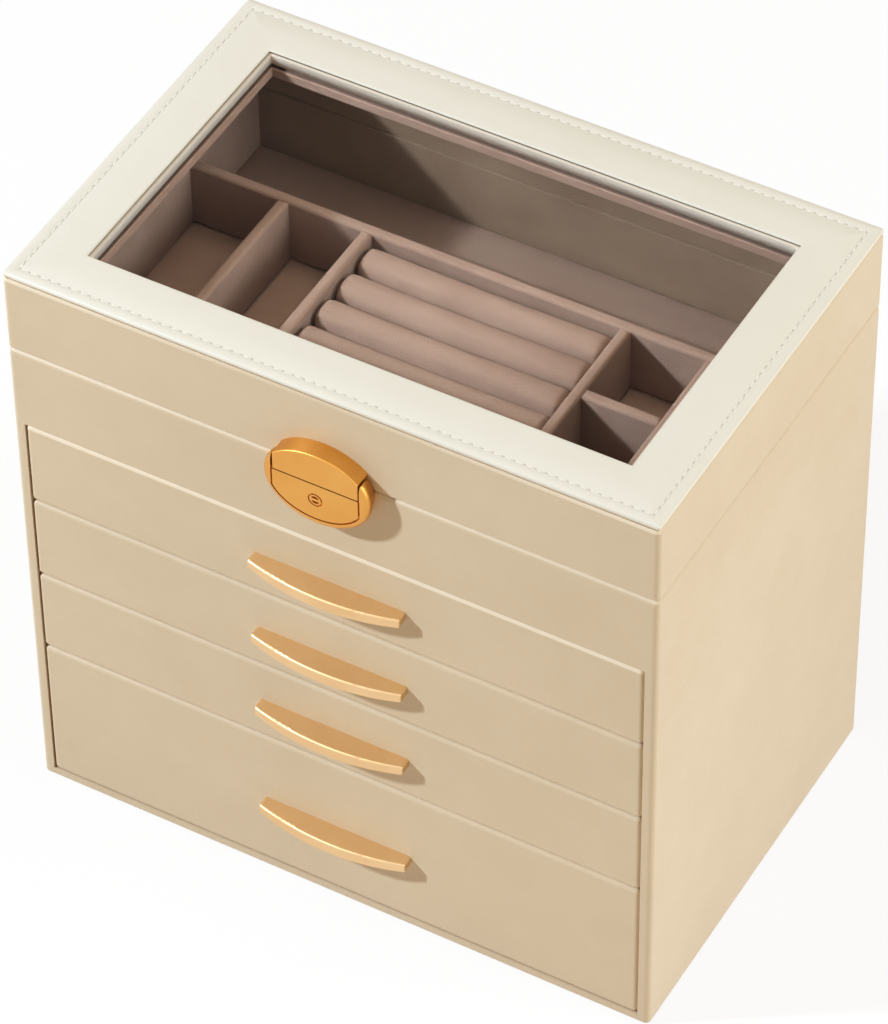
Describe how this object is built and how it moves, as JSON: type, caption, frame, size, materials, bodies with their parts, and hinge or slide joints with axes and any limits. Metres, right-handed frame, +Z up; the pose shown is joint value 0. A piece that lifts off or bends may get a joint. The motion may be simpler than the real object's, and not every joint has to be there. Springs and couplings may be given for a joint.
{
  "type": "jewellery box",
  "caption": "Leather-covered jewellery box with a hinged glass-topped lid over a divided velvet tray, pull-out drawers with half-moon pulls, and an oval key lock.",
  "frame": {"origin": "centre of the underside of the base, on the table it stands on", "axes": "+X to the viewer's right across the front, +Y from the front to the back, +Z up"},
  "size_m": [0.231, 0.1631, 0.23],
  "materials": {
    "cream_leather": "satin",
    "ivory_leather": "satin",
    "velvet": "matte",
    "felt": "matte",
    "board": "matte",
    "gold_metal": "satin",
    "steel": "satin",
    "window_glass": "clear"
  },
  "bodies": {
    "case": {"case_leather": "cream_leather", "base_felt": "felt", "base_panel": "board", "left_side_panel": "board", "right_side_panel": "board", "back_panel": "board", "tray_front_panel": "board", "tray_floor_panel": "board", "drawer_shelves": "board", "tray_floor_pad": "velvet", "tray_wall_cards": "velvet", "tray_long_divider": "velvet", "tray_cross_dividers": "velvet", "tray_small_dividers": "velvet", "ring_rolls": "velvet", "lock_base": "gold_metal", "lock_base_screws": "steel", "hinge_case_leaves": "gold_metal", "hinge_pins": "gold_metal", "hinge_case_screws": "steel"},
    "lid": {"lid_leather": "cream_leather", "lid_window_board": "board", "lid_front_rail": "board", "lid_back_rail": "board", "lid_side_rails": "board", "lid_top_panel": "ivory_leather", "window_glass": "window_glass", "glass_retainer": "velvet", "lid_lining": "velvet", "lock_hasp": "gold_metal", "lock_hasp_screws": "steel", "hinge_lid_leaves": "gold_metal", "hinge_lid_screws": "steel"},
    "key_plug": {"lock_plug": "gold_metal", "lock_cam": "steel"},
    "drawer_1": {"drawer_1_front": "cream_leather", "drawer_1_bottom": "board", "drawer_1_walls": "board", "drawer_1_lining": "velvet", "drawer_1_pull": "gold_metal", "drawer_1_pull_screws": "steel"},
    "drawer_2": {"drawer_2_front": "cream_leather", "drawer_2_bottom": "board", "drawer_2_walls": "board", "drawer_2_lining": "velvet", "drawer_2_pull": "gold_metal", "drawer_2_pull_screws": "steel"},
    "drawer_3": {"drawer_3_front": "cream_leather", "drawer_3_bottom": "board", "drawer_3_walls": "board", "drawer_3_lining": "velvet", "drawer_3_pull": "gold_metal", "drawer_3_pull_screws": "steel"},
    "drawer_4": {"drawer_4_front": "cream_leather", "drawer_4_bottom": "board", "drawer_4_walls": "board", "drawer_4_lining": "velvet", "drawer_4_pull": "gold_metal", "drawer_4_pull_screws": "steel"}
  },
  "joints": [
    {"name": "lid_hinge", "type": "hinge", "parent": "case", "child": "lid", "pos_m": [0, 0.0776, 0.198], "axis": [-1, 0, 0], "range_deg": [0, 100]},
    {"name": "key_turn", "type": "hinge", "parent": "case", "child": "key_plug", "pos_m": [0, -0.0785, 0.1916], "axis": [0, 1, 0], "range_deg": [0, 90]},
    {"name": "drawer_1_slide", "type": "slide", "parent": "case", "child": "drawer_1", "axis": [0, -1, 0], "range_m": [0, 0.11]},
    {"name": "drawer_2_slide", "type": "slide", "parent": "case", "child": "drawer_2", "axis": [0, -1, 0], "range_m": [0, 0.11]},
    {"name": "drawer_3_slide", "type": "slide", "parent": "case", "child": "drawer_3", "axis": [0, -1, 0], "range_m": [0, 0.11]},
    {"name": "drawer_4_slide", "type": "slide", "parent": "case", "child": "drawer_4", "axis": [0, -1, 0], "range_m": [0, 0.11]}
  ]
}
